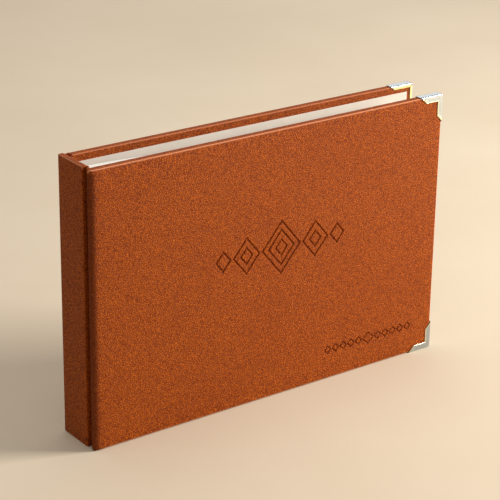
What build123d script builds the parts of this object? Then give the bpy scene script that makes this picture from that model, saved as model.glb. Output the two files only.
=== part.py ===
from build123d import *
import math
import os

# Landscape hardcover guest book, closed and standing on its tail edge.
# Millimetres. X runs from the spine (-X) to the fore-edge (+X), the front cover
# faces -Y, Z is up. The origin is the middle of the closed book's footprint.

# --- The closed book, over everything
book_width = 275.0
book_height = 185.0
book_depth = 37.0

# --- Layers of the case
leather = 0.8
board = 2.4
padding = 1.4
lining = 0.3
turn_in = 15.0          # leather folded over the inner side of each board
joint_lap = 4.0         # the same fold where a board meets its joint
lining_margin = 5.0     # bare leather left around each lining paper
lining_fit = 0.1        # play of the lining's thicker middle between the turn-ins

# --- Rounding of the leather-covered boards
outer_arris = 1.5
inner_arris = 0.8
board_corner = 1.8

# --- Metal corners
corner_metal = 0.4
corner_fit = 0.05
corner_leg = 19.5
corner_outer_band = 4.8
corner_inner_band = 2.8
corner_seam = 0.5
corner_mitre = 45.0

# --- Joints between the spine and the covers
spine_setback = 8.6     # front cover's face to the spine's front end
cover_setback = 0.8     # spine's face to the front cover's joint edge
back_joint_gap = 2.5    # spine's inner side to the back cover's joint edge
joint_depth = 1.8       # groove in the back face
valley_depth = 2.4      # spine's face to the bottom of the front valley
joint_lap_on_edge = 1.2 # joint leather lying on the front cover's edge
hinge_clearance = 0.4   # between an opened cover's edge and the spine

# --- Leaves
leaf_count = 16
leaf = 0.5
leaf_gap = 0.06         # between leaves that lie pressed together
stub_extra = 0.3        # a stub's pitch beyond the leaf's own thickness
stub_play = 0.1         # between neighbouring stubs
stub_width = 2.5
spine_cloth = 0.3
leaf_square = 5.0       # leaf's head and tail below the covers'
leaf_fore_square = 6.0  # leaf's fore-edge inside the covers'
lean_run = 70.0         # length over which a leaf swings towards the front cover
front_leaf_gap = 0.3    # front cover's lining to the first leaf
fan_clearance = 0.25    # between leaves as they stand square to the covers
cover_turn = 175.0      # opening of each cover, degrees
first_leaf_turn = 126.0
last_leaf_turn = 12.0

# --- Planes that follow from them
corner_proud = corner_metal + corner_fit
cover_thickness = leather + padding + board + leather
spine_thickness = leather + board + leather

spine_x = -book_width / 2
fore_x = book_width / 2 - corner_proud
front_y = -book_depth / 2 + corner_proud
back_y = book_depth / 2 - corner_proud
cover_z0 = corner_proud
cover_z1 = book_height - corner_proud

front_inner_y = front_y + cover_thickness
back_inner_y = back_y - cover_thickness
front_edge_x = spine_x + cover_setback
spine_inner_x = spine_x + spine_thickness
back_edge_x = spine_inner_x + back_joint_gap
spine_front_y = front_y + spine_setback

# Each cover turns about a vertical line beside its joint edge, placed so that at
# half a turn the cover's edge clears the spine.
front_axis_x = (spine_x + front_edge_x - hinge_clearance) / 2
front_axis_y = front_inner_y + (spine_front_y - front_inner_y) / 2 - lining
back_axis_x = (spine_inner_x + back_edge_x) / 2
back_axis_y = back_y + hinge_clearance / 2

# A leaf turns about the line where its crease meets its stub.
stub_x = spine_inner_x + lining + spine_cloth
pivot_x = stub_x + stub_width
stub_pitch = leaf + stub_extra
block_front_y = spine_front_y + stub_play
leaf_rest_y = front_inner_y + lining + front_leaf_gap
leaf_z0 = cover_z0 + leaf_square
leaf_height = cover_z1 - leaf_square - leaf_z0
leaf_end_x = fore_x - leaf_fore_square
bend_x = pivot_x + lean_run

# The crease is long enough for neighbouring leaves to clear each other where the
# first of them stands square to the covers and the fan is still narrow.
square_turn = 90.0
fan_step = (first_leaf_turn - last_leaf_turn) / (leaf_count - 1)
square_step = math.radians(fan_step * square_turn / first_leaf_turn)
crease = (leaf + fan_clearance) / math.sin(square_step)


def span(x0, x1, y0, y1, z0, z1):
    """A box between two corners."""
    centre = Pos((x0 + x1) / 2, (y0 + y1) / 2, (z0 + z1) / 2)
    return centre * Box(abs(x1 - x0), abs(y1 - y0), z1 - z0)


def upright(points, z0, height):
    """A plan outline raised into a solid."""
    outline = make_face(Polyline(*points, close=True))
    return Pos(0, 0, z0) * extrude(outline, amount=height)


def padded_panel(x0, x1, y_out, y_in, z0, z1, grow=0.0):
    """The outer shape of a leather-covered board, or the same grown all round."""
    side = math.copysign(grow, y_out - y_in)
    panel = span(x0 - grow, x1 + grow, y_out + side, y_in - side, z0 - grow, z1 + grow)
    panel = fillet(panel.edges().filter_by(Axis.Y), board_corner + grow)
    faces = panel.faces().sort_by(Axis.Y)
    outer = faces[0] if y_out < y_in else faces[-1]
    panel = fillet(outer.edges(), outer_arris + grow)
    faces = panel.faces().sort_by(Axis.Y)
    inner = faces[-1] if y_out < y_in else faces[0]
    return fillet(inner.edges(), inner_arris + grow)


def cover_layers(name, x0, y_out, inward):
    """Board, padding, leather and lining of one cover; inward is +1 or -1 along Y."""
    y_in = y_out + inward * cover_thickness
    padding_y = y_out + inward * leather
    board_y = padding_y + inward * padding
    board_in_y = board_y + inward * board
    core_x = (x0 + leather, fore_x - leather)
    core_z = (cover_z0 + leather, cover_z1 - leather)

    core = span(*core_x, padding_y, board_in_y, *core_z)
    window_x = (x0 + joint_lap, fore_x - turn_in)
    window_z = (cover_z0 + turn_in, cover_z1 - turn_in)
    window = span(*window_x, board_in_y, y_in + inward * leather, *window_z)
    skin = padded_panel(x0, fore_x, y_out, y_in, cover_z0, cover_z1) - core - window

    sheet = span(x0 + lining_margin, fore_x - lining_margin, y_in, y_in + inward * lining,
                 cover_z0 + lining_margin, cover_z1 - lining_margin)
    middle = span(max(window_x[0], x0 + lining_margin) + lining_fit, window_x[1] - lining_fit,
                  board_in_y, y_in, window_z[0] + lining_fit, window_z[1] - lining_fit)
    return {
        name + "_board": span(*core_x, board_y, board_in_y, *core_z),
        name + "_padding": span(*core_x, padding_y, board_y, *core_z),
        name + "_leather": skin,
        name + "_pastedown": sheet + middle,
    }


def corner_outline(tip_x, tip_z, down, band):
    """An L along two edges from the tip, its ends cut slanting."""
    short = corner_leg - band
    steps = [(0, 0), (corner_leg, 0), (short, band), (band, band), (band, short), (0, corner_leg)]
    return [(tip_x - along, tip_z - down * across) for along, across in steps]


def corner_prism(points, y0, y1):
    """An outline in the X-Z plane, drawn out along Y."""
    outline = make_face(Polyline(*[(x, y0, z) for x, z in points], close=True))
    return extrude(outline, amount=abs(y1 - y0), dir=(0, math.copysign(1, y1 - y0), 0))


def metal_corner(x0, y_out, inward, at_head):
    """Sheet metal folded over the cover's edges; one leg meets the other at a seam."""
    y_in = y_out + inward * cover_thickness
    y_fold = y_out + inward * outer_arris
    metal_out = y_out - inward * corner_proud
    metal_in = y_in + inward * corner_proud
    down = 1 if at_head else -1
    tip_x = fore_x + corner_proud
    tip_z = cover_z1 + corner_proud if at_head else cover_z0 - corner_proud

    hollow = padded_panel(x0, fore_x, y_out, y_in, cover_z0, cover_z1, corner_fit)
    shell = padded_panel(x0, fore_x, y_out, y_in, cover_z0, cover_z1, corner_proud) - hollow
    outer_flange = corner_outline(tip_x, tip_z, down, corner_outer_band)
    inner_flange = corner_outline(tip_x, tip_z, down, corner_inner_band)
    folded = shell & corner_prism(outer_flange, metal_out, y_fold)
    folded += shell & corner_prism(inner_flange, y_fold, metal_in)

    reach = corner_outer_band * 2
    seam_y = (y_fold + metal_in + inward * corner_metal) / 2
    seam = Box(reach * 2, abs(metal_in + inward * corner_metal - y_fold), corner_seam)
    return folded - Pos(tip_x, seam_y, tip_z) * Rot(0, -corner_mitre * down, 0) * seam


def spine_layers():
    """Board, leather and lining of the spine."""
    y0, y1 = spine_front_y, back_y
    board_x = spine_x + leather
    board_in_x = board_x + board
    core_y = (y0 + leather, y1 - leather)
    core = span(board_x, board_in_x, *core_y, leather, book_height - leather)
    window = span(board_in_x, spine_inner_x + leather, y0 + joint_lap, y1 - joint_lap,
                  turn_in, book_height - turn_in)

    skin = span(spine_x, spine_inner_x, y0, y1, 0, book_height)
    outer = skin.faces().sort_by(Axis.X)[0]
    skin = fillet(outer.edges().filter_by(Axis.Z), outer_arris)
    skin = skin - core - window

    sheet = span(spine_inner_x, spine_inner_x + lining, y0 + inner_arris, y1 - joint_lap,
                 lining_margin, book_height - lining_margin)
    middle = span(board_in_x, spine_inner_x, y0 + joint_lap + lining_fit,
                  y1 - joint_lap - lining_fit, turn_in + lining_fit,
                  book_height - turn_in - lining_fit)
    return {"spine_board": core, "spine_leather": skin, "spine_liner": sheet + middle}


def joint_leathers():
    """The flexible strips of leather between the spine and each cover."""
    valley_x = spine_x + valley_depth
    edge_low_y = front_inner_y - inner_arris
    valley_y = (front_inner_y + spine_front_y) / 2
    front_strip = [
        (valley_x - leather, spine_front_y),
        (valley_x - leather / 2, valley_y),
        (front_edge_x - leather, edge_low_y),
        (front_edge_x - leather, edge_low_y - joint_lap_on_edge),
        (front_edge_x, edge_low_y - joint_lap_on_edge),
        (front_edge_x, front_inner_y),
        (valley_x + leather / 2, valley_y),
        (valley_x, spine_front_y),
    ]
    height = cover_z1 - cover_z0
    groove_y = back_y - joint_depth
    return {
        "front_joint_leather": upright(front_strip, cover_z0, height),
        "back_joint_leather": span(spine_inner_x, back_edge_x, groove_y - leather, groove_y,
                                   cover_z0, cover_z1),
    }


def leaf_centre(index):
    """A leaf's centre line in plan: stub, start of the leaf, bend and fore-edge."""
    y_stub = block_front_y + (index + 0.5) * stub_pitch
    y_rest = leaf_rest_y + leaf / 2 + index * (leaf + leaf_gap)
    lean = math.atan2(y_rest - y_stub, lean_run)
    start = (pivot_x + crease * math.cos(lean), y_stub + crease * math.sin(lean))
    return (pivot_x, y_stub), start, (bend_x, y_rest), (leaf_end_x, y_rest)


def sheet_along(points):
    """A sheet of the leaf's thickness along a centre line."""
    front = [(x, y - leaf / 2) for x, y in points]
    back = [(x, y + leaf / 2) for x, y in reversed(points)]
    return upright(front + back, leaf_z0, leaf_height)


def page_block():
    """Spine cloth, stubs, creases and leaves."""
    last_y = block_front_y + leaf_count * stub_pitch
    nodes = {"spine_cloth": span(spine_inner_x + lining, stub_x, block_front_y, last_y,
                                 leaf_z0, leaf_z0 + leaf_height)}
    stubs = []
    creases = []
    for index in range(leaf_count):
        pivot, start, bend, end = leaf_centre(index)
        half = (stub_pitch - stub_play) / 2
        stubs.append(span(stub_x, pivot_x, pivot[1] - half, pivot[1] + half,
                          leaf_z0, leaf_z0 + leaf_height))
        creases.append(sheet_along([pivot, start]))
        nodes[f"leaf_{index + 1:02d}"] = sheet_along([start, bend, end])
    nodes["page_stubs"] = Compound(children=stubs)
    nodes["leaf_creases"] = Compound(children=creases)
    return nodes


def all_nodes():
    nodes = spine_layers()
    nodes.update(joint_leathers())
    nodes.update(page_block())
    covers = [("front", front_edge_x, front_y, 1), ("back", back_edge_x, back_y, -1)]
    for name, x0, y_out, inward in covers:
        nodes.update(cover_layers(name, x0, y_out, inward))
        nodes[name + "_corner_top"] = metal_corner(x0, y_out, inward, True)
        nodes[name + "_corner_tail"] = metal_corner(x0, y_out, inward, False)
    return nodes


os.makedirs("parts", exist_ok=True)
for node, shape in all_nodes().items():
    export_step(shape, f"parts/{node}.step")
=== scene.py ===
import math
import random

import bmesh
import bpy
import numpy as np
from mathutils import Matrix, Vector


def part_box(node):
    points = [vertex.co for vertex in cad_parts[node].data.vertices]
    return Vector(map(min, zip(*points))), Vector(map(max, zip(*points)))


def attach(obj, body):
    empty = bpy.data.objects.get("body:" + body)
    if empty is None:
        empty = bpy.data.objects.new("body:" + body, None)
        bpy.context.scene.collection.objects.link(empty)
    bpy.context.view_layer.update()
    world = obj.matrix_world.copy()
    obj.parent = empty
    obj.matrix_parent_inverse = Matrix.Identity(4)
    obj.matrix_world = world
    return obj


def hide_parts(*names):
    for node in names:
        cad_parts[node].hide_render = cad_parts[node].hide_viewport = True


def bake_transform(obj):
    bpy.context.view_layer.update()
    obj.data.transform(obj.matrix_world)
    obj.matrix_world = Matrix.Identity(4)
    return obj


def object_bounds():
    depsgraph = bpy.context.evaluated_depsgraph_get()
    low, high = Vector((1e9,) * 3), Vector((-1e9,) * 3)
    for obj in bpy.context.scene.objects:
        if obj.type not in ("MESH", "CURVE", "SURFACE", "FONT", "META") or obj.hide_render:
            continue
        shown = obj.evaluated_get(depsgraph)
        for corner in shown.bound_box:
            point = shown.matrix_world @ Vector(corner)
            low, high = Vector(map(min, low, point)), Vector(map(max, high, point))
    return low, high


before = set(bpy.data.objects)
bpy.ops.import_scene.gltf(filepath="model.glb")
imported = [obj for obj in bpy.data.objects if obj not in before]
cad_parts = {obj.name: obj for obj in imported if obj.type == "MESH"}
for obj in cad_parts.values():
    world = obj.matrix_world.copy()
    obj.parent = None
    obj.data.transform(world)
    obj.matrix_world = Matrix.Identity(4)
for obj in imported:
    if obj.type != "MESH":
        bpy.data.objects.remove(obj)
cad_low, cad_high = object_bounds()
random.seed(11)

MM = 0.001

# --- Sizes that the finish adds to the frame's own, in metres
leather_skin = 0.8 * MM
outer_arris = 1.0 * MM
inner_arris = 0.8 * MM
cover_corner = 1.05 * MM
spine_arris = 0.8 * MM
cover_edge_drop = 0.25 * MM     # how far the padded face falls towards its arris
cover_edge_run = 7.0 * MM
turn_in = 15.0 * MM
joint_edge_play = 0.1 * MM      # cover's joint edge behind the spine's face
joint_round = 4.0 * MM          # width of the rounding along that edge
joint_round_drop = 2.5 * MM
joint_shade = 6.0 * MM          # how far the painted shade along the joint reaches onto the face
joint_lean = 1.2 * MM           # how far the edge leans back towards the valley
leaf_thickness = 0.5 * MM
lean_run = 70.0 * MM            # length over which a leaf leans from its stub to the block
bead_height = 0.17 * MM
corner_leg = 19.5 * MM
corner_outer_band = 4.8 * MM
corner_inner_band = 2.8 * MM
corner_metal = 0.25 * MM
corner_radius = 1.4 * MM
plate_arris = 0.8 * MM
corner_mitre_gap = 0.25 * MM
tooling_depth = 0.75 * MM
tooled_line = 1.4 * MM          # width of the lines in the middle ornament
ruled_line = 1.1 * MM           # width of the lines in the chain by the fore-edge
tooled_soft = 0.45 * MM         # slope on each side of a pressed line
tooling_middle = (4.5 * MM, 105.0 * MM)
tooling_reach = 53.0 * MM       # half the width that the middle ornament's fine grid covers
tooling_rule = (80.5 * MM, 21.5 * MM)
rule_links = 5                  # small lozenges on each side of the chain's middle one
rule_start = 8.4                # millimetres from the middle one to the first of them
rule_step = 6.6
rule_length = 75.2 * MM

# --- Camera
camera_lens = 131.95
camera_turns = (36.55, 21.95, 0.91)     # yaw, pitch and roll in degrees
camera_distance = 1.2012
camera_aim = Vector((3.6, 14.2, 0.0)) * MM      # from the middle of the book

# --- Places read from the frame
front_low, front_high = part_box("front_leather")
back_low, back_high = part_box("back_leather")
spine_low, spine_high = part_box("spine_leather")
stub_low, stub_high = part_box("page_stubs")
front_strip_low, front_strip_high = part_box("front_joint_leather")
back_strip_low, back_strip_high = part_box("back_joint_leather")
leaf_names = sorted(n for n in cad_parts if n.startswith("leaf_") and n != "leaf_creases")


# ---------------------------------------------------------------- mesh helpers

def make_piece(name, points, faces, material, wear_and_painted_light=None, sharp_angle=40.0):
    """A mesh object with outward normals, smooth where its faces meet at a low angle."""
    mesh = bpy.data.meshes.new(name)
    mesh.from_pydata([tuple(p) for p in points], [], faces)
    work = bmesh.new()
    work.from_mesh(mesh)
    bmesh.ops.recalc_face_normals(work, faces=work.faces)
    work.to_mesh(mesh)
    work.free()
    mesh.shade_smooth()
    mesh.set_sharp_from_angle(angle=math.radians(sharp_angle))
    if wear_and_painted_light is not None:
        mesh.attributes.new("wear_and_painted_light", "FLOAT", "POINT").data.foreach_set("value", wear_and_painted_light)
    mesh.materials.append(material)
    piece = bpy.data.objects.new(name, mesh)
    bpy.context.scene.collection.objects.link(piece)
    return piece


def grid_lines(low, high, coarse, zones=(), fine=0.32 * MM):
    """Values from low to high, closer together inside the zones."""
    stops = sorted({low, high, *[s for zone in zones for s in zone]})
    lines = [low]
    for a, b in zip(stops, stops[1:]):
        middle = (a + b) / 2
        step = fine if any(z[0] < middle < z[1] for z in zones) else coarse
        lines += list(np.linspace(a, b, max(1, round((b - a) / step)) + 1)[1:])
    return lines


def quarter(steps):
    """Angles of a quarter turn, ends included."""
    return [math.pi / 2 * i / steps for i in range(steps + 1)]


def bridge(faces, ring_a, ring_b, closed=True):
    """Faces between two rows of vertex numbers; a vertex that repeats makes a triangle."""
    count = len(ring_a)
    for i in range(count if closed else count - 1):
        j = (i + 1) % count
        corners = []
        for number in (ring_a[i], ring_a[j], ring_b[j], ring_b[i]):
            if number not in corners:
                corners.append(number)
        if len(corners) > 2:
            faces.append(corners)


def rim_slots(count_u, count_v, steps=5):
    """Round a grid's border: each border vertex with its outward directions."""
    last_u, last_v = count_u - 1, count_v - 1
    sides = [
        [(i, 0) for i in range(count_u)],
        [(last_u, i) for i in range(count_v)],
        [(last_u - i, last_v) for i in range(count_u)],
        [(0, last_v - i) for i in range(count_v)],
    ]
    slots = []
    for side, cells in enumerate(sides):
        angle = (side - 1) * math.pi / 2
        slots += [(cell, angle) for cell in cells]
        turns = quarter(steps)[1:-1]
        slots += [(cells[-1], angle + turn) for turn in turns]
    return slots


class Panel:
    """A board's leather: outer face, rounded edges, turned-in inner face and flesh side."""

    def __init__(self, size_u, size_v, depth, place, zones_u=(), zones_v=(), coarse=2.2 * MM,
                 corner=cover_corner, arris=outer_arris):
        self.depth = depth
        self.place = place
        self.size = (size_u, size_v)
        self.corner = corner
        self.arris = arris
        margin = corner
        self.lines_u = grid_lines(size_u[0] + margin, size_u[1] - margin, coarse, zones_u)
        self.lines_v = grid_lines(size_v[0] + margin, size_v[1] - margin, coarse, zones_v)
        self.slots = rim_slots(len(self.lines_u), len(self.lines_v))
        self.points = []
        self.wear_and_painted_light = []
        self.faces = []

    def add(self, u, v, d, wear_and_painted_light):
        self.points.append(self.place(u, v, d))
        self.wear_and_painted_light.append(wear_and_painted_light)
        return len(self.points) - 1

    def ring(self, inset, d, wear_and_painted_light=0.0):
        """A row of vertices round the panel at an inset from its outline."""
        out = self.corner - inset
        centre = [(low + high) / 2 for low, high in self.size]
        half = [(high - low) / 2 - self.corner for low, high in self.size]
        numbers = []
        shared = {}
        for cell, angle in self.slots:
            u, v = self.lines_u[cell[0]], self.lines_v[cell[1]]
            if out > 0:
                numbers.append(self.add(u + out * math.cos(angle), v + out * math.sin(angle), d, wear_and_painted_light))
                continue
            if cell not in shared:
                u = centre[0] + (u - centre[0]) * (half[0] + out) / half[0]
                v = centre[1] + (v - centre[1]) * (half[1] + out) / half[1]
                shared[cell] = self.add(u, v, d, wear_and_painted_light)
            numbers.append(shared[cell])
        return numbers

    def outer_face(self, relief):
        """The outer face's grid, pressed in by relief(u, v); returns its border row."""
        grid_u, grid_v = np.meshgrid(self.lines_u, self.lines_v, indexing="ij")
        depth = relief(grid_u, grid_v)
        numbers = [[self.add(grid_u[i, j], grid_v[i, j], depth[i, j], 0.0)
                    for j in range(len(self.lines_v))] for i in range(len(self.lines_u))]
        for row_a, row_b in zip(numbers, numbers[1:]):
            bridge(self.faces, row_a, row_b, closed=False)
        return [numbers[cell[0]][cell[1]] for cell, _ in self.slots]

    def shell(self, relief, edge_drop, window):
        """Closes the leather round the board, from the window's edge to the flesh side."""
        rings = [self.ring(window, self.depth - leather_skin), self.ring(window, self.depth)]
        rings.append(self.ring(self.corner, self.depth))
        # The arris rows' attribute lightens the leather on both arrises: partly wear, partly a painted
        # highlight.
        for turn in quarter(4):
            inset = inner_arris * (1 - math.sin(turn))
            d = self.depth - inner_arris * (1 - math.cos(turn))
            rings.append(self.ring(inset, d, 0.6 * math.sin(2 * turn)))
        for turn in quarter(6):
            inset = self.arris * (1 - math.cos(turn))
            d = edge_drop + self.arris * (1 - math.sin(turn))
            rings.append(self.ring(inset, d, math.sin(2 * turn) ** 1.5))
        rings.append(self.outer_face(relief))
        for a, b in zip(rings, rings[1:]):
            bridge(self.faces, a, b)
        flesh = [self.ring(leather_skin, self.depth - leather_skin),
                 self.ring(leather_skin, leather_skin + edge_drop)]
        bridge(self.faces, rings[0], flesh[0])
        bridge(self.faces, flesh[0], flesh[1])
        self.faces.append(flesh[1])


def ribbon(points, faces, front, back, heights):
    """A sheet between two plan lines, upright between the heights."""
    rows = []
    for z in heights:
        start = len(points)
        points.extend((x, y, z) for x, y in front)
        points.extend((x, y, z) for x, y in reversed(back))
        rows.append(list(range(start, len(points))))
    for row_a, row_b in zip(rows, rows[1:]):
        bridge(faces, row_a, row_b)
    count = len(front)
    for row in (rows[0], rows[-1]):
        for i in range(count - 1):
            faces.append([row[i], row[i + 1], row[2 * count - 2 - i], row[2 * count - 1 - i]])


def smooth_line(stops, steps):
    """A Catmull-Rom curve through plan points."""
    line = []
    padded = [stops[0], *stops, stops[-1]]
    for p0, p1, p2, p3 in zip(padded, padded[1:], padded[2:], padded[3:]):
        for i in range(steps):
            t = i / steps
            line.append(tuple(
                0.5 * (2 * b + (c - a) * t + (2 * a - 5 * b + 4 * c - d) * t * t
                       + (3 * b - a - 3 * c + d) * t ** 3)
                for a, b, c, d in zip(p0, p1, p2, p3)))
    return [*line, stops[-1]]


def thicken(line, thickness):
    """The line and a second one beside it, at a sheet's thickness."""
    beside = []
    for i, (x, y) in enumerate(line):
        before, after = line[max(i - 1, 0)], line[min(i + 1, len(line) - 1)]
        run = Vector((after[0] - before[0], after[1] - before[1])).normalized()
        beside.append((x - run.y * thickness, y + run.x * thickness))
    return line, beside


# ---------------------------------------------------------------- node helpers

class Shader:
    """A material and its node tree."""

    def __init__(self, name):
        self.material = bpy.data.materials.new(name)
        self.material.use_nodes = True
        self.tree = self.material.node_tree
        self.surface = self.tree.nodes["Principled BSDF"]
        self.place = self.add("TexCoord").outputs["Object"]

    def add(self, kind, inputs=None, **settings):
        node = self.tree.nodes.new("ShaderNode" + kind)
        for key, value in settings.items():
            setattr(node, key, value)
        for key, value in (inputs or {}).items():
            self.set(node.inputs[key], value)
        return node

    def set(self, socket, value):
        if isinstance(value, bpy.types.NodeSocket):
            self.tree.links.new(value, socket)
        else:
            socket.default_value = value

    def noise(self, scale, detail=3.0, roughness=0.55, vector=None):
        made = self.add("TexNoise", {"Vector": vector or self.place, "Scale": scale,
                                     "Detail": detail, "Roughness": roughness})
        return made.outputs["Fac"]

    def math(self, operation, a, b=0.0):
        made = self.add("Math", operation=operation)
        self.set(made.inputs[0], a)
        self.set(made.inputs[1], b)
        return made.outputs[0]

    def span(self, value, low, high, to_low=0.0, to_high=1.0):
        """Value from low..high onto to_low..to_high, clamped."""
        made = self.add("MapRange", {"Value": value, "From Min": low, "From Max": high,
                                     "To Min": to_low, "To Max": to_high})
        return made.outputs["Result"]

    def mix(self, share, a, b):
        made = self.add("Mix", data_type="RGBA", blend_type="MIX")
        self.set(made.inputs[0], share)
        self.set(made.inputs[6], a)
        self.set(made.inputs[7], b)
        return made.outputs[2]

    def shift(self, amount, scale):
        """Coordinates pushed about by noise, so that no cell is regular."""
        wander = self.add("TexNoise", {"Vector": self.place, "Scale": scale, "Detail": 2.0})
        centred = self.add("VectorMath", operation="SUBTRACT")
        self.set(centred.inputs[0], wander.outputs["Color"])
        centred.inputs[1].default_value = (0.5, 0.5, 0.5)
        scaled = self.add("VectorMath", operation="SCALE")
        self.set(scaled.inputs[0], centred.outputs[0])
        scaled.inputs["Scale"].default_value = amount
        total = self.add("VectorMath", operation="ADD")
        self.set(total.inputs[0], self.place)
        self.set(total.inputs[1], scaled.outputs[0])
        return total.outputs[0]

    def bump(self, height, distance, strength=1.0, under=None):
        inputs = {"Height": height, "Distance": distance, "Strength": strength}
        if under is not None:
            inputs["Normal"] = under
        return self.add("Bump", inputs).outputs["Normal"]

    def finish(self, **inputs):
        for key, value in inputs.items():
            self.set(self.surface.inputs[key.replace("_", " ")], value)
        return self.material


def rgb(red, green, blue):
    """A screen colour, 0 to 255, as the linear colour that the nodes take."""
    def linear(value):
        value = value / 255
        return value / 12.92 if value <= 0.04045 else ((value + 0.055) / 1.055) ** 2.4
    return (linear(red), linear(green), linear(blue), 1.0)


# ---------------------------------------------------------------- materials

def leather_material():
    """Tan pebbled leather: darker creases, cloudy dye, arrises lightened partly as wear and partly as a
    painted highlight, painted shade along the joint.
    """
    s = Shader("tan_leather")
    warped = s.shift(1.3 * MM, 380.0)
    cells = s.add("TexVoronoi", {"Vector": warped, "Scale": 860.0}, feature="DISTANCE_TO_EDGE")
    pebble = s.span(cells.outputs["Distance"], 0.0, 0.3)
    tint_cells = s.add("TexVoronoi", {"Vector": warped, "Scale": 860.0}, feature="F1")
    pebble_tint = s.add("SeparateColor", {"Color": tint_cells.outputs["Color"]}).outputs[0]
    fine = s.noise(2600.0, 3.0)
    mottle = s.noise(1600.0, 2.0, 0.6)
    cloud = s.noise(22.0, 3.0, 0.5)
    wear_and_painted_light = s.add("Attribute", attribute_name="wear_and_painted_light").outputs["Fac"]

    base = s.mix(s.span(cloud, 0.35, 0.65), rgb(197, 94, 6), rgb(206, 101, 10))
    creased = s.mix(s.span(pebble, 0.0, 1.0, 0.95, 0.0), base, rgb(100, 34, 1))
    dyed = s.mix(s.span(pebble_tint, 0.35, 1.0, 0.0, 0.4), creased, rgb(206, 104, 18))
    spotted = s.mix(s.span(mottle, 0.4, 0.54, 1.0, 0.0), dyed, rgb(104, 36, 1))
    # Lighter arrises: partly wear, partly a painted highlight standing in for their gleam.
    worn_and_painted_highlight = s.mix(s.math("MULTIPLY", wear_and_painted_light, 0.6), spotted, rgb(236, 160, 118))
    # Painted shade: negative attribute values darken the joint's valley and rounded edge.
    with_painted_joint_shade = s.mix(s.math("MULTIPLY", wear_and_painted_light, -0.65), worn_and_painted_highlight, rgb(88, 32, 1))

    rough = s.math("ADD", s.span(fine, 0.3, 0.7, 0.46, 0.58), s.span(pebble, 0, 1, 0.1, 0.0))
    grain = s.bump(pebble, 0.2 * MM, 0.9)
    pores = s.bump(fine, 0.05 * MM, 0.5, grain)
    undulation = s.bump(mottle, 0.25 * MM, 0.4, pores)
    return s.finish(Base_Color=with_painted_joint_shade, Roughness=rough, Normal=undulation, Specular_IOR_Level=0.14)


def gilt_material():
    """Polished metal whose cool grey plate and pale yellow rim are painted reflections, with fine
    rubbing marks and a trace of tarnish.
    """
    s = Shader("gilt_metal")
    stretched = s.add("Mapping", {"Vector": s.place, "Scale": (900.0, 160.0, 260.0)})
    rub = s.noise(4.0, 4.0, 0.6, stretched.outputs[0])
    tarnish = s.noise(520.0, 3.0)
    rim = s.add("Attribute", attribute_name="wear_and_painted_light").outputs["Fac"]
    # Painted reflections: the plate's cool grey and the rim's pale yellow stand in for what the
    # polished metal mirrors.
    plate = s.mix(s.span(tarnish, 0.4, 0.7), rgb(184, 194, 202), rgb(178, 186, 188))
    colour = s.mix(rim, plate, rgb(250, 236, 178))
    rough = s.span(rub, 0.3, 0.7, 0.16, 0.24)
    return s.finish(Base_Color=colour, Metallic=1.0, Roughness=rough)


def paper_material(name, light, dark, tooth):
    """Uncoated paper: soft fibres, a little tooth and faint tone changes."""
    s = Shader(name)
    fibres = s.noise(tooth, 5.0, 0.7)
    tone = s.noise(45.0, 3.0)
    colour = s.mix(s.span(tone, 0.35, 0.65), light, dark)
    flecked = s.mix(s.span(fibres, 0.5, 0.75, 0.0, 0.35), colour, dark)
    return s.finish(Base_Color=flecked, Roughness=s.span(fibres, 0.3, 0.7, 0.75, 0.95),
                    Normal=s.bump(fibres, 0.04 * MM, 0.5), Specular_IOR_Level=0.3)


def board_material():
    """Grey bookbinder's board with recycled fibres."""
    s = Shader("grey_board")
    fibres = s.noise(900.0, 5.0, 0.75)
    flecks = s.add("TexVoronoi", {"Vector": s.shift(2.0 * MM, 300.0), "Scale": 420.0})
    colour = s.mix(s.span(fibres, 0.35, 0.65), rgb(150, 146, 138), rgb(118, 113, 105))
    flecked = s.mix(s.span(flecks.outputs["Distance"], 0.05, 0.3, 0.5, 0.0), colour, rgb(88, 82, 74))
    return s.finish(Base_Color=flecked, Roughness=0.9, Normal=s.bump(fibres, 0.1 * MM, 0.6))


def foam_material():
    """White foam sheet with open cells."""
    s = Shader("padding_foam")
    cells = s.add("TexVoronoi", {"Vector": s.place, "Scale": 1500.0}).outputs["Distance"]
    colour = s.mix(s.span(cells, 0.1, 0.6), rgb(206, 200, 186), rgb(240, 236, 226))
    return s.finish(Base_Color=colour, Roughness=0.95, Normal=s.bump(cells, 0.2 * MM, 0.7))


def mull_material():
    """Open-weave spine cloth."""
    s = Shader("mull_cloth")
    weft = s.add("TexWave", {"Vector": s.place, "Scale": 380.0, "Distortion": 0.6},
                 bands_direction="Z").outputs["Fac"]
    warp = s.add("TexWave", {"Vector": s.place, "Scale": 380.0, "Distortion": 0.6},
                 bands_direction="Y").outputs["Fac"]
    threads = s.math("MAXIMUM", weft, warp)
    colour = s.mix(s.span(threads, 0.3, 0.9), rgb(170, 160, 138), rgb(236, 230, 214))
    return s.finish(Base_Color=colour, Roughness=0.92, Normal=s.bump(threads, 0.12 * MM, 0.8))


def floor_material():
    """Matt cream paper sweep."""
    s = Shader("studio_paper")
    fibres = s.noise(260.0, 4.0, 0.7)
    tone = s.noise(5.0, 3.0)
    colour = s.mix(s.span(tone, 0.3, 0.7), rgb(212, 197, 175), rgb(217, 203, 182))
    spotted = s.mix(s.span(fibres, 0.5, 0.8, 0.0, 0.12), colour, rgb(206, 186, 156))
    return s.finish(Base_Color=spotted, Roughness=0.9, Normal=s.bump(fibres, 0.2 * MM, 0.25),
                    Specular_IOR_Level=0.2)


# ---------------------------------------------------------------- tooling on the front cover

def smooth_step(value, low, high):
    t = np.clip((value - low) / (high - low), 0, 1)
    return t * t * (3 - 2 * t)


def lozenge(u, v, centre, width, height, line, soft):
    """A diamond outline."""
    away = np.abs(u - centre[0]) / (width / 2) + np.abs(v - centre[1]) / (height / 2) - 1
    away = np.abs(away) * min(width, height) / 2
    return 1 - smooth_step(away, line / 2 - soft / 2, line / 2 + soft / 2)


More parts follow.
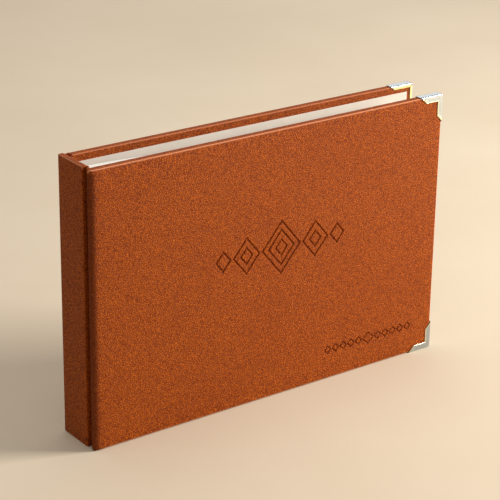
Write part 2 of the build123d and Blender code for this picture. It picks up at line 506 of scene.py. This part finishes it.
def tooling(u, v):
    """The blind tooling: nested lozenges in the middle and a chain of them low by the fore-edge."""
    marks = [(tooling_middle, 0.0, width, height, tooled_line)
             for width, height in ((30.0, 36.0), (20.0, 24.0), (9.0, 11.0))]
    marks.append((tooling_rule, 0.0, 9.0, 8.0, ruled_line))
    for side in (-1, 1):
        for aside, width, height in ((27.5, 20.0, 24.0), (27.5, 9.0, 11.0), (45.5, 11.0, 13.0)):
            marks.append((tooling_middle, side * aside, width, height, tooled_line))
        for link in range(rule_links):
            marks.append((tooling_rule, side * (rule_start + rule_step * link), 5.6, 5.2, ruled_line))
    pressed = np.zeros_like(u)
    for middle, aside, width, height, line in marks:
        centre = (middle[0] + aside * MM, middle[1])
        mark = lozenge(u, v, centre, width * MM, height * MM, line, tooled_soft)
        pressed = np.maximum(pressed, mark)
    return pressed


# ---------------------------------------------------------------- leather pieces

def crown(u, v, size_u, size_v):
    """A padded face: full in the middle, falling towards its edges."""
    near = np.minimum.reduce([u - size_u[0], size_u[1] - u, v - size_v[0], size_v[1] - v])
    return cover_edge_drop * np.exp(-np.maximum(near - cover_corner, 0) / cover_edge_run * 2.2)


def cover_skin(size_u, size_v, depth, place, pressed=None, zones=((), ())):
    """A padded cover's leather, with any tooling pressed in."""
    panel = Panel(size_u, size_v, depth, place, zones[0], zones[1])

    def relief(u, v):
        flat = crown(u, v, size_u, size_v)
        if pressed is None:
            return flat
        return flat + tooling_depth * pressed(u, v)

    panel.shell(relief, cover_edge_drop, turn_in - 2.0 * MM)
    return panel


def front_cover_piece(material):
    """Front cover's leather with the joint's valley, one continuous skin across the hinge."""
    left = spine_low.x + joint_edge_play
    size_u = (left, front_high.x)
    size_v = (front_low.z, front_high.z)
    y_out = front_low.y
    depth = front_high.y - front_low.y
    half_rule = rule_length / 2 + 1.5 * MM
    zones_u = ((left + cover_corner, left + joint_round + 1.0 * MM),
               (tooling_middle[0] - tooling_reach, tooling_middle[0] + tooling_reach),
               (tooling_rule[0] - half_rule, tooling_rule[0] + half_rule))
    zones_v = ((tooling_middle[1] - 20.0 * MM, tooling_middle[1] + 19.0 * MM),
               (tooling_rule[1] - 5.0 * MM, tooling_rule[1] + 5.0 * MM))

    def place(u, v, d):
        """The joint edge is rounder than the others and leans back into the valley."""
        near = 1 - min((u - left) / joint_round, 1.0)
        fall = joint_round_drop * (1 - math.sqrt(1 - near ** 2)) * (1 - d / depth)
        share = min(max((d - outer_arris) / (depth - outer_arris), 0.0), 1.0)
        return (u + joint_lean * near * share * (2 - share), y_out + d + fall, v)

    panel = cover_skin(size_u, size_v, depth, place, tooling, (zones_u, zones_v))
    points, faces, wear_and_painted_light = panel.points, panel.faces, panel.wear_and_painted_light

    spine_front_y = spine_low.y
    floor_x = front_strip_high.x + 0.9 * MM
    edge_x = left + joint_lean
    valley = [
        (edge_x + 0.35 * MM, front_high.y - 2.2 * MM),
        (edge_x + 0.02 * MM, front_high.y - 0.9 * MM),
        (edge_x + 0.45 * MM, front_high.y + 0.2 * MM),
        (floor_x - 0.45 * MM, (front_high.y + spine_front_y) / 2 - 0.3 * MM),
        (floor_x, spine_front_y - 0.5 * MM),
        (floor_x - 0.2 * MM, spine_front_y + 0.5 * MM),
    ]
    line, beside = thicken(smooth_line(valley, 6), -leather_skin)
    heights = grid_lines(front_strip_low.z, front_strip_high.z, 6.0 * MM)
    ribbon(points, faces, line, beside, heights)
    wear_and_painted_light += [0.0] * (len(points) - len(wear_and_painted_light))
    for i, (x, y, z) in enumerate(points):
        if x < left + joint_shade and z < front_high.z - 1.5 * MM:
            # Below zero the attribute paints shade along the joint, darkening the valley and its
            # rounded edge where shade falls.
            wear_and_painted_light[i] = -float(1 - smooth_step((x - left) / joint_shade, 0.3, 1.0))
    piece = make_piece("front_cover_skin", points, faces, material, wear_and_painted_light)
    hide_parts("front_leather", "front_joint_leather")
    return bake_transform(piece)


def back_cover_piece(material):
    """Back cover's leather with the groove beside the spine."""
    size_u = (back_low.x, back_high.x)
    size_v = (back_low.z, back_high.z)
    y_out = back_high.y
    depth = back_high.y - back_low.y
    panel = cover_skin(size_u, size_v, depth, lambda u, v, d: (u, y_out - d, v))
    points, faces, wear_and_painted_light = panel.points, panel.faces, panel.wear_and_painted_light

    groove_y = back_strip_high.y + 1.0 * MM
    middle_x = (back_strip_low.x + back_strip_high.x) / 2
    half = (back_strip_high.x - back_strip_low.x) / 2
    groove = [(middle_x + side * (half + out * MM), groove_y + rise * MM)
              for side, out, rise in ((-1, 0.6, 0.9), (-1, 0.0, 0.35), (-1, -0.7, 0.2),
                                      (1, -0.7, 0.2), (1, 0.0, 0.35), (1, 0.6, 0.9))]
    line, beside = thicken(smooth_line(groove, 5), -leather_skin)
    heights = grid_lines(back_low.z + 0.2 * MM, back_high.z - 0.2 * MM, 6.0 * MM)
    ribbon(points, faces, line, beside, heights)
    wear_and_painted_light += [0.0] * (len(points) - len(wear_and_painted_light))
    piece = make_piece("back_cover_skin", points, faces, material, wear_and_painted_light)
    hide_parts("back_leather", "back_joint_leather")
    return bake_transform(piece)


def spine_piece(material):
    """The spine's leather, turned in at head and tail."""
    size_u = (spine_low.y, spine_high.y)
    size_v = (spine_low.z, spine_high.z)
    depth = spine_high.x - spine_low.x
    panel = Panel(size_u, size_v, depth, lambda u, v, d: (spine_low.x + d, u, v),
                  coarse=1.6 * MM, corner=spine_arris, arris=spine_arris)
    dip = 0.12 * MM

    def relief(u, v):
        near = np.minimum(u - size_u[0], size_u[1] - u)
        return dip * np.exp(-np.maximum(near - spine_arris, 0) / (3.0 * MM))

    panel.shell(relief, dip, 4.0 * MM)
    ends = (spine_low.z + spine_arris, spine_high.z - spine_arris)
    # Only the head and tail arrises keep their lightening: partly wear, partly a painted highlight.
    wear_and_painted_light = [0.0 if ends[0] < p[2] < ends[1] else w for p, w in zip(panel.points, panel.wear_and_painted_light)]
    piece = make_piece("spine_skin", panel.points, panel.faces, material, wear_and_painted_light)
    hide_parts("spine_leather")
    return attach(piece, "spine")


def padding_piece(side, body, material):
    """The foam under a cover's leather, crowned like the face that it fills."""
    low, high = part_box(side + "_padding")
    outward = -1 if side == "front" else 1
    face_y = low.y if side == "front" else high.y
    inner_y = high.y if side == "front" else low.y
    lines_x = grid_lines(low.x, high.x, 6.0 * MM)
    lines_z = grid_lines(low.z, high.z, 6.0 * MM)
    points = []
    faces = []
    rows = {}
    for layer in (0, 1):
        for i, x in enumerate(lines_x):
            for j, z in enumerate(lines_z):
                near = min(x - low.x, high.x - x, z - low.z, high.z - z)
                fall = 0.45 * MM * math.exp(-near / (3.0 * MM))
                y = face_y - outward * (fall + tooling_depth) if layer == 0 else inner_y
                rows[layer, i, j] = len(points)
                points.append((x, y, z))
    last_x, last_z = len(lines_x) - 1, len(lines_z) - 1
    for layer in (0, 1):
        for i in range(last_x):
            for j in range(last_z):
                faces.append([rows[layer, i, j], rows[layer, i + 1, j],
                              rows[layer, i + 1, j + 1], rows[layer, i, j + 1]])
    rim = [cell for cell, angle in rim_slots(len(lines_x), len(lines_z), 1)]
    bridge(faces, [rows[0, i, j] for i, j in rim], [rows[1, i, j] for i, j in rim])
    piece = make_piece(side + "_padding_foam", points, faces, material)
    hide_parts(side + "_padding")
    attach(piece, body)
    return piece


# ---------------------------------------------------------------- leaves

def leaf_piece(index, name, material):
    """One leaf from its stub at the spine, leaning over to lie with the others."""
    low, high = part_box(name)
    lift = random.uniform(-0.12, 0.12) * MM
    trim = random.uniform(-0.25, 0.0) * MM
    pitch = (stub_high.y - stub_low.y) / len(leaf_names)
    y_stub = stub_low.y + (index + 0.5) * pitch
    y_rest = low.y + leaf_thickness / 2
    bend_x = stub_high.x + lean_run
    line = []
    gutter = ((stub_high.x, stub_high.x + 12 * MM),)
    for x in grid_lines(stub_low.x, high.x + trim, 2.5 * MM, gutter, 1.0 * MM):
        share = min(max((x - stub_high.x) / (bend_x - stub_high.x), 0.0), 1.0)
        lean = share * share * (3 - 2 * share)
        wave = 0.05 * MM * math.sin((x - bend_x) / (23.0 * MM)) if share == 1.0 else 0.0
        line.append((x, y_stub + (y_rest - y_stub) * lean + wave))
    half = leaf_thickness / 2
    front = [(x, y - half) for x, y in line]
    back = [(x, y + half) for x, y in line]
    points = []
    faces = []
    ribbon(points, faces, front, back, grid_lines(low.z, high.z + lift, 30.0 * MM))
    piece = make_piece(name + "_sheet", points, faces, material)
    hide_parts(name)
    if index == 0:
        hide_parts("page_stubs", "leaf_creases")
    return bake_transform(piece)


# ---------------------------------------------------------------- metal corners

def bead(distance):
    """Height of the raised rim beside a border."""
    rim = math.exp(-((distance - 0.5 * MM) / (0.3 * MM)) ** 2)
    lip = -1.2 * math.exp(-(distance / (0.12 * MM)) ** 2)
    return bead_height * (rim + lip)


def corner_rows(depth, arris):
    """The plate's section across an edge, outer flange to inner flange: (inset, depth, zone)."""
    flat = bead_height
    rows = []
    for s in (4.8, 4.7, 4.6, 4.45, 4.3, 4.15, 4.0, 3.85, 3.6, 3.2, 2.7, 2.2):
        rows.append((s * MM, flat, "outer"))
    for turn in quarter(5):
        rows.append((arris * (1 - math.sin(turn)),
                     flat + arris * (1 - math.cos(turn)), "outer" if turn < 1.2 else "edge"))
    for turn in quarter(5):
        rows.append((arris * (1 - math.cos(turn)), depth - arris * (1 - math.sin(turn)), "edge"))
    for s in (1.5, 1.9, 2.15, 2.35, 2.5, 2.6, 2.7, 2.8):
        rows.append((s * MM, depth, "inner"))
    return rows


def corner_line(inset, zone):
    """Points round the corner at an inset: (along, across, distance to the leg's end)."""
    radius = max(corner_radius - inset, 0.35 * MM)
    slant = inset if zone != "edge" else 0.0
    end = corner_leg - slant
    start = inset + radius
    from_end = [0.0, 0.12, 0.25, 0.4, 0.55, 0.7, 0.9, 1.2]
    marks = [d * MM for d in from_end]
    rest = end - start - marks[-1]
    marks += [marks[-1] + rest * i / 8 for i in range(1, 9)]
    leg = [(end - m, inset, m / math.sqrt(2) if zone != "edge" else m) for m in marks]
    gap = min(corner_mitre_gap / radius, math.pi / 4 * 0.8)
    turns = [(math.pi / 4 - gap) * i / 3 for i in range(1, 4)]
    arc = [(start - radius * math.sin(turn), start - radius * math.cos(turn), 1.0) for turn in turns]
    half = leg + arc
    return half + [(across, along, away) for along, across, away in reversed(half)]


def corner_piece(name, body, outward, at_head, material):
    """A plate folded over the cover's corner, its rim beaded and its seam left open."""
    low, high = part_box(name)
    depth = high.y - low.y
    y_face = low.y if outward < 0 else high.y
    tip_x = high.x
    tip_z = high.z if at_head else low.z
    down = 1 if at_head else -1
    rows = corner_rows(depth, plate_arris)
    points = []
    faces = []
    wear_and_painted_light = []
    numbers = []
    for inset, d, zone in rows:
        line = corner_line(inset, zone)
        row = []
        for along, across, away in line:
            lift = 0.0
            if zone == "outer" and d <= bead_height + 1e-9:
                lift = bead(min(corner_outer_band - inset, away))
            if zone == "inner":
                lift = -bead(min(corner_inner_band - inset, away)) * 0.6
            row.append(len(points))
            # This share paints the rim's pale yellow reflection over the plate's grey one.
            rim = min(abs(lift) / bead_height, 1.0) if zone == "outer" else float(zone == "inner")
            wear_and_painted_light.append(rim)
            points.append((tip_x - along, y_face - outward * (d - lift), tip_z - down * across))
        numbers.append((row, zone))
    seam = len(numbers[0][0]) // 2
    for (row_a, zone_a), (row_b, zone_b) in zip(numbers, numbers[1:]):
        if zone_b == "outer":
            bridge(faces, row_a, row_b, closed=False)
        else:
            bridge(faces, row_a[:seam], row_b[:seam], closed=False)
            bridge(faces, row_a[seam:], row_b[seam:], closed=False)
    piece = make_piece(name + "_plate", points, faces, material, wear_and_painted_light, sharp_angle=50.0)
    piece_faces_outward(piece, Vector((tip_x - 3 * MM, (low.y + high.y) / 2, tip_z - down * 3 * MM)))
    solid = piece.modifiers.new("thickness", "SOLIDIFY")
    solid.thickness = corner_metal
    solid.offset = -1.0
    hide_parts(name)
    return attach(piece, body)


def piece_faces_outward(piece, inside):
    """Turns an open sheet's normals away from a point inside its fold."""
    mesh = piece.data
    away = sum((p.center - inside).dot(p.normal) * p.area for p in mesh.polygons)
    if away < 0:
        mesh.flip_normals()


# ---------------------------------------------------------------- the rest of the frame

def dress(node, material):
    """A CAD node that keeps its shape gets its finish."""
    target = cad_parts[node]
    target.data.materials.clear()
    target.data.materials.append(material)


def studio(material):
    """Floor, lights and camera."""
    bpy.ops.mesh.primitive_grid_add(x_subdivisions=8, y_subdivisions=8, size=9.0)
    floor = bpy.context.object
    floor.name = "studio_floor"
    floor.data.materials.append(material)

    def lamp(name, at, aim, size, power, colour):
        data = bpy.data.lights.new(name, "AREA")
        data.shape = "RECTANGLE"
        data.size, data.size_y = size
        data.energy = power
        data.color = colour
        light = bpy.data.objects.new(name, data)
        light.location = at
        light.rotation_euler = (Vector(aim) - Vector(at)).to_track_quat("-Z", "Y").to_euler()
        bpy.context.scene.collection.objects.link(light)

    middle = (0.0, 0.0, 0.09)
    lamp("key", (1.3, -0.75, 0.66), middle, (0.6, 0.6), 42.0, (1.0, 0.95, 0.88))
    lamp("top", (-0.2, 0.2, 1.7), middle, (1.6, 1.2), 8.5, (1.0, 0.96, 0.91))
    lamp("behind", (0.94, 1.27, 0.7), middle, (1.4, 0.6), 2.6, (1.0, 0.98, 0.94))

    world = bpy.data.worlds.new("studio")
    bpy.context.scene.world = world
    world.use_nodes = True
    background = world.node_tree.nodes["Background"]
    background.inputs["Color"].default_value = (1.0, 0.96, 0.9, 1.0)
    background.inputs["Strength"].default_value = 0.34

    data = bpy.data.cameras.new("camera")
    data.sensor_width = 36.0
    data.lens = camera_lens
    data.dof.use_dof = False
    camera = bpy.data.objects.new("camera", data)
    yaw, pitch, roll = (math.radians(turn) for turn in camera_turns)
    ahead = Vector((math.sin(yaw) * math.cos(pitch), math.cos(yaw) * math.cos(pitch), -math.sin(pitch)))
    right = Vector((math.cos(yaw), -math.sin(yaw), 0.0))
    up = right.cross(ahead)
    turned_right = right * math.cos(roll) + up * math.sin(roll)
    turned_up = up * math.cos(roll) - right * math.sin(roll)
    aim = (cad_low + cad_high) / 2 + camera_aim
    place = aim - ahead * camera_distance
    turn = Matrix((turned_right, turned_up, -ahead)).transposed()
    camera.matrix_world = Matrix.Translation(place) @ turn.to_4x4()
    bpy.context.scene.collection.objects.link(camera)
    bpy.context.scene.camera = camera
    bpy.context.scene.view_settings.view_transform = "Standard"
    bpy.context.scene.view_settings.look = "None"


leather = leather_material()
gilt = gilt_material()
card = paper_material("leaf_card", rgb(250, 248, 242), rgb(244, 241, 233), 1400.0)
lining = paper_material("lining_paper", rgb(215, 207, 198), rgb(210, 202, 192), 900.0)
board = board_material()
foam = foam_material()
mull = mull_material()

studio(floor_material())
front_cover_piece(leather)
back_cover_piece(leather)
spine_piece(leather)
for side in ("front", "back"):
    body = side + "_cover"
    outward = -1 if side == "front" else 1
    padding_piece(side, body, foam)
    corner_piece(side + "_corner_top", body, outward, True, gilt)
    corner_piece(side + "_corner_tail", body, outward, False, gilt)
    dress(side + "_pastedown", lining)
    dress(side + "_board", board)
for index, name in enumerate(leaf_names):
    leaf_piece(index, name, card)
dress("spine_board", board)
dress("spine_liner", lining)
dress("spine_cloth", mull)
